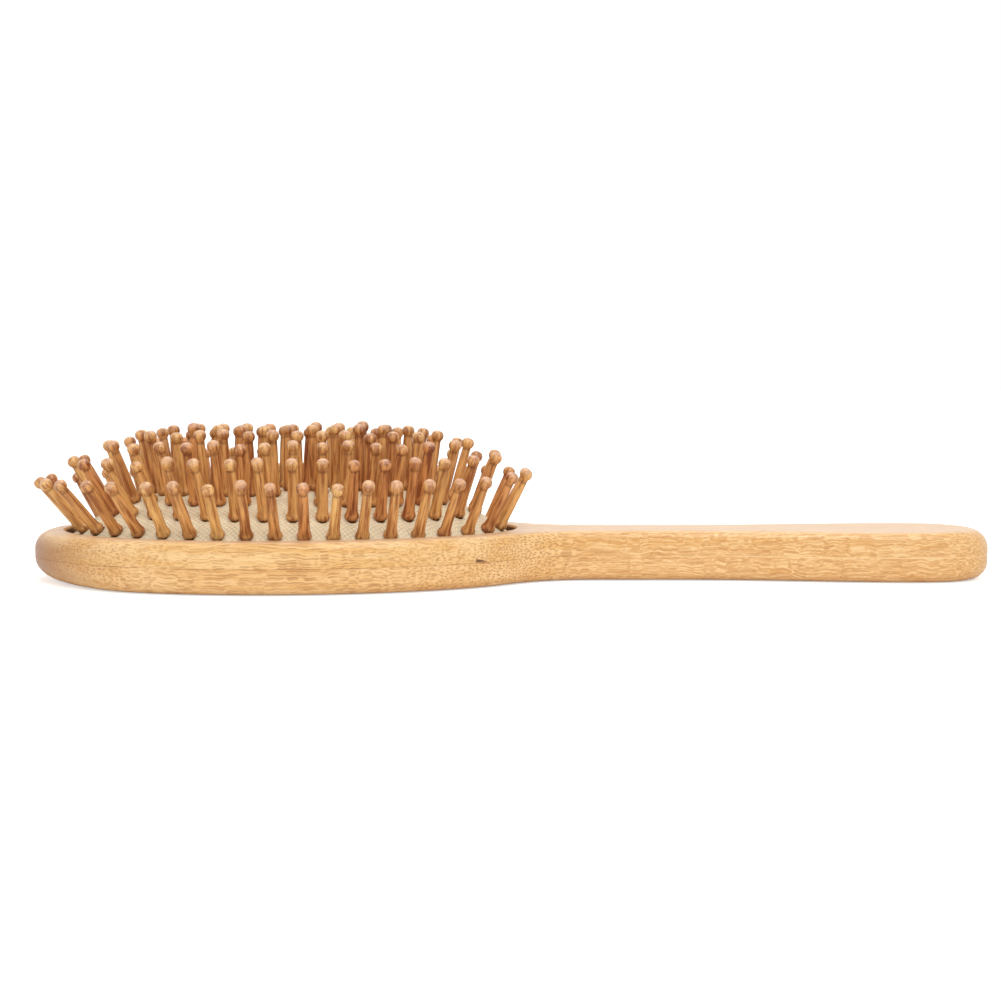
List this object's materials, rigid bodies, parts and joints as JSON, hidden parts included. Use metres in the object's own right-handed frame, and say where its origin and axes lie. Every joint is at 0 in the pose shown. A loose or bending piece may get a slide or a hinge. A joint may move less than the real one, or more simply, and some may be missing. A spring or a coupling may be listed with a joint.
{
  "type": "paddle hairbrush",
  "caption": "Bamboo paddle hairbrush: two-ply oval paddle with a waisted handle, domed air cushion and leaning ball-ended wooden pins that rock.",
  "frame": {"origin": "on the flat back, straight beneath the middle of the cushion's opening", "axes": "+X along the handle to its end, +Z out of the face that carries the pins, +Y to the left of the handle"},
  "size_m": [0.2453, 0.077, 0.0397],
  "materials": {
    "front_board": "sanded bamboo with a thin clear oil, pale gold with fine fibre streaks along the handle",
    "back_board": "sanded bamboo with a thin clear oil, slightly deeper gold than the front",
    "cushion_pad": "matt cream rubber sheet with a fine crossed weave on its face",
    "pins": "carbonised bamboo, orange-brown, satin, streaked along each pin and paler on the balls"
  },
  "bodies": {
    "paddle": {"front_board": "front_board", "back_board": "back_board"},
    "cushion": {"cushion_pad": "cushion_pad"},
    "pins_outer_handle_end": {"pins_outer_handle_end": "pins"},
    "pins_outer_left_1": {"pins_outer_left_1": "pins"},
    "pins_outer_left_2": {"pins_outer_left_2": "pins"},
    "pins_outer_left_3": {"pins_outer_left_3": "pins"},
    "pins_outer_tip": {"pins_outer_tip": "pins"},
    "pins_outer_right_3": {"pins_outer_right_3": "pins"},
    "pins_outer_right_2": {"pins_outer_right_2": "pins"},
    "pins_outer_right_1": {"pins_outer_right_1": "pins"},
    "pins_second_handle_end": {"pins_second_handle_end": "pins"},
    "pins_second_left_1": {"pins_second_left_1": "pins"},
    "pins_second_left_2": {"pins_second_left_2": "pins"},
    "pins_second_tip": {"pins_second_tip": "pins"},
    "pins_second_right_2": {"pins_second_right_2": "pins"},
    "pins_second_right_1": {"pins_second_right_1": "pins"},
    "pins_third_handle_end": {"pins_third_handle_end": "pins"},
    "pins_third_left_1": {"pins_third_left_1": "pins"},
    "pins_third_left_2": {"pins_third_left_2": "pins"},
    "pins_third_tip": {"pins_third_tip": "pins"},
    "pins_third_right_2": {"pins_third_right_2": "pins"},
    "pins_third_right_1": {"pins_third_right_1": "pins"},
    "pins_fourth_handle_end": {"pins_fourth_handle_end": "pins"},
    "pins_fourth_left_1": {"pins_fourth_left_1": "pins"},
    "pins_fourth_tip": {"pins_fourth_tip": "pins"},
    "pins_fourth_right_1": {"pins_fourth_right_1": "pins"},
    "pins_inner_left": {"pins_inner_left": "pins"},
    "pins_inner_right": {"pins_inner_right": "pins"}
  },
  "joints": [
    {"name": "cushion_press", "type": "slide", "parent": "paddle", "child": "cushion", "axis": [0, 0, -1], "range_m": [0, 0.0025], "stiffness_N_per_m": 3000, "deforming": ["cushion_pad"]},
    {"name": "rock_outer_handle_end", "type": "hinge", "parent": "cushion", "child": "pins_outer_handle_end", "pos_m": [0.05176, 0, 0.01242], "axis": [0, -1, 0], "range_deg": [-4, 8], "stiffness_Nm_per_rad": 0.002},
    {"name": "rock_outer_left_1", "type": "hinge", "parent": "cushion", "child": "pins_outer_left_1", "pos_m": [0.03321, 0.02077, 0.01212], "axis": [0.9123, -0.4094, 0], "range_deg": [-4, 8], "stiffness_Nm_per_rad": 0.002},
    {"name": "rock_outer_left_2", "type": "hinge", "parent": "cushion", "child": "pins_outer_left_2", "pos_m": [-0.00042, 0.02772, 0.01249], "axis": [0.9999, -0.0163, 0], "range_deg": [-4, 8], "stiffness_Nm_per_rad": 0.002},
    {"name": "rock_outer_left_3", "type": "hinge", "parent": "cushion", "child": "pins_outer_left_3", "pos_m": [-0.03401, 0.02135, 0.01287], "axis": [0.9086, 0.4176, 0], "range_deg": [-4, 8], "stiffness_Nm_per_rad": 0.002},
    {"name": "rock_outer_tip", "type": "hinge", "parent": "cushion", "child": "pins_outer_tip", "pos_m": [-0.05187, 0, 0.01268], "axis": [0, 1, 0], "range_deg": [-4, 8], "stiffness_Nm_per_rad": 0.002},
    {"name": "rock_outer_right_3", "type": "hinge", "parent": "cushion", "child": "pins_outer_right_3", "pos_m": [-0.03401, -0.02135, 0.01287], "axis": [-0.9086, 0.4176, 0], "range_deg": [-4, 8], "stiffness_Nm_per_rad": 0.002},
    {"name": "rock_outer_right_2", "type": "hinge", "parent": "cushion", "child": "pins_outer_right_2", "pos_m": [-0.00042, -0.02772, 0.01249], "axis": [-0.9999, -0.0163, 0], "range_deg": [-4, 8], "stiffness_Nm_per_rad": 0.002},
    {"name": "rock_outer_right_1", "type": "hinge", "parent": "cushion", "child": "pins_outer_right_1", "pos_m": [0.03321, -0.02077, 0.01212], "axis": [-0.9123, -0.4094, 0], "range_deg": [-4, 8], "stiffness_Nm_per_rad": 0.002},
    {"name": "rock_second_handle_end", "type": "hinge", "parent": "cushion", "child": "pins_second_handle_end", "pos_m": [0.04493, 0, 0.01636], "axis": [0, -1, 0], "range_deg": [-4, 8], "stiffness_Nm_per_rad": 0.002},
    {"name": "rock_second_left_1", "type": "hinge", "parent": "cushion", "child": "pins_second_left_1", "pos_m": [0.02054, 0.01862, 0.01637], "axis": [0.9685, -0.2491, 0], "range_deg": [-4, 8], "stiffness_Nm_per_rad": 0.002},
    {"name": "rock_second_left_2", "type": "hinge", "parent": "cushion", "child": "pins_second_left_2", "pos_m": [-0.02119, 0.01903, 0.01673], "axis": [0.971, 0.2389, 0], "range_deg": [-4, 8], "stiffness_Nm_per_rad": 0.002},
    {"name": "rock_second_tip", "type": "hinge", "parent": "cushion", "child": "pins_second_tip", "pos_m": [-0.04511, 0, 0.01657], "axis": [0, 1, 0], "range_deg": [-4, 8], "stiffness_Nm_per_rad": 0.002},
    {"name": "rock_second_right_2", "type": "hinge", "parent": "cushion", "child": "pins_second_right_2", "pos_m": [-0.02119, -0.01903, 0.01673], "axis": [-0.971, 0.2389, 0], "range_deg": [-4, 8], "stiffness_Nm_per_rad": 0.002},
    {"name": "rock_second_right_1", "type": "hinge", "parent": "cushion", "child": "pins_second_right_1", "pos_m": [0.02054, -0.01862, 0.01637], "axis": [-0.9685, -0.2491, 0], "range_deg": [-4, 8], "stiffness_Nm_per_rad": 0.002},
    {"name": "rock_third_handle_end", "type": "hinge", "parent": "cushion", "child": "pins_third_handle_end", "pos_m": [0.0372, 0, 0.01927], "axis": [0, -1, 0], "range_deg": [-4, 8], "stiffness_Nm_per_rad": 0.002},
    {"name": "rock_third_left_1", "type": "hinge", "parent": "cushion", "child": "pins_third_left_1", "pos_m": [0.01545, 0.01412, 0.01939], "axis": [0.9847, -0.1743, 0], "range_deg": [-4, 8], "stiffness_Nm_per_rad": 0.002},
    {"name": "rock_third_left_2", "type": "hinge", "parent": "cushion", "child": "pins_third_left_2", "pos_m": [-0.01592, 0.01444, 0.01956], "axis": [0.9873, 0.1591, 0], "range_deg": [-4, 8], "stiffness_Nm_per_rad": 0.002},
    {"name": "rock_third_tip", "type": "hinge", "parent": "cushion", "child": "pins_third_tip", "pos_m": [-0.03744, 0, 0.01942], "axis": [0, 1, 0], "range_deg": [-4, 8], "stiffness_Nm_per_rad": 0.002},
    {"name": "rock_third_right_2", "type": "hinge", "parent": "cushion", "child": "pins_third_right_2", "pos_m": [-0.01592, -0.01444, 0.01956], "axis": [-0.9873, 0.1591, 0], "range_deg": [-4, 8], "stiffness_Nm_per_rad": 0.002},
    {"name": "rock_third_right_1", "type": "hinge", "parent": "cushion", "child": "pins_third_right_1", "pos_m": [0.01545, -0.01412, 0.01939], "axis": [-0.9847, -0.1743, 0], "range_deg": [-4, 8], "stiffness_Nm_per_rad": 0.002},
    {"name": "rock_fourth_handle_end", "type": "hinge", "parent": "cushion", "child": "pins_fourth_handle_end", "pos_m": [0.03017, 0, 0.02119], "axis": [0, -1, 0], "range_deg": [-4, 8], "stiffness_Nm_per_rad": 0.002},
    {"name": "rock_fourth_left_1", "type": "hinge", "parent": "cushion", "child": "pins_fourth_left_1", "pos_m": [-0.00013, 0.00907, 0.02132], "axis": [1, -0.0078, 0], "range_deg": [-4, 8], "stiffness_Nm_per_rad": 0.002},
    {"name": "rock_fourth_tip", "type": "hinge", "parent": "cushion", "child": "pins_fourth_tip", "pos_m": [-0.03035, 0, 0.02126], "axis": [0, 1, 0], "range_deg": [-4, 8], "stiffness_Nm_per_rad": 0.002},
    {"name": "rock_fourth_right_1", "type": "hinge", "parent": "cushion", "child": "pins_fourth_right_1", "pos_m": [-0.00013, -0.00907, 0.02132], "axis": [-1, -0.0078, 0], "range_deg": [-4, 8], "stiffness_Nm_per_rad": 0.002},
    {"name": "rock_inner_left", "type": "hinge", "parent": "cushion", "child": "pins_inner_left", "pos_m": [0.00288, 0.00281, 0.02217], "axis": [0.9991, -0.0424, 0], "range_deg": [-4, 6], "stiffness_Nm_per_rad": 0.002},
    {"name": "rock_inner_right", "type": "hinge", "parent": "cushion", "child": "pins_inner_right", "pos_m": [-0.00295, -0.00281, 0.02217], "axis": [-0.9992, 0.04, 0], "range_deg": [-4, 6], "stiffness_Nm_per_rad": 0.002}
  ]
}
